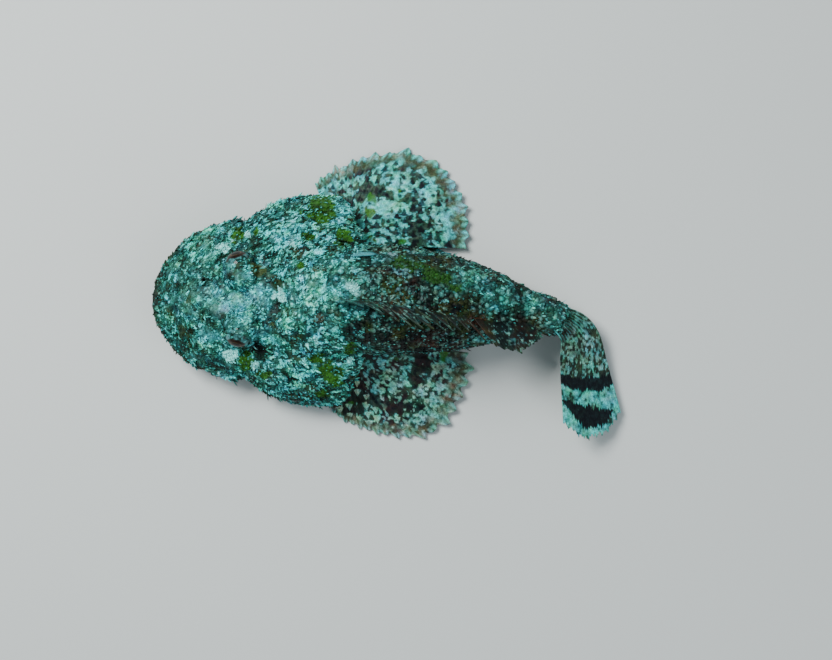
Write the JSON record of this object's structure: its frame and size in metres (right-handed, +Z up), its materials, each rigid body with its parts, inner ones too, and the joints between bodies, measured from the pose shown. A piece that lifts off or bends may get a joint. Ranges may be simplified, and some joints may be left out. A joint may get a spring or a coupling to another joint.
{
  "type": "scorpionfish",
  "caption": "Life-size still model of a warty reef scorpionfish resting on its belly, pectoral fins spread, with its banded tail curled to its left.",
  "frame": {"origin": "on the floor, at the middle of the flat of the belly, 100 mm behind the snout", "axes": "+X from the snout towards the tail, +Y to the fish's own right, +Z up"},
  "size_m": [0.2547, 0.1621, 0.0864],
  "materials": {
    "skin": "mottled dark green and pale mint, matt",
    "fin": "barred dark green and pale, matt",
    "pale_fin": "pale mint with dark bars, matt",
    "eye": "glossy brown"
  },
  "bodies": {
    "root": {"head": "skin", "lower_jaw": "skin", "gill_cover_left": "skin", "gill_cover_right": "skin", "eye_left": "eye", "eye_right": "eye", "trunk_front": "skin", "trunk_rear": "skin", "tail_stalk": "skin", "dorsal_fin_spiny": "fin", "dorsal_fin_soft": "fin", "anal_fin": "fin", "tail_fin": "fin", "pectoral_fin_left": "pale_fin", "pectoral_fin_right": "pale_fin", "pelvic_fin_left": "pale_fin", "pelvic_fin_right": "pale_fin"}
  },
  "joints": []
}
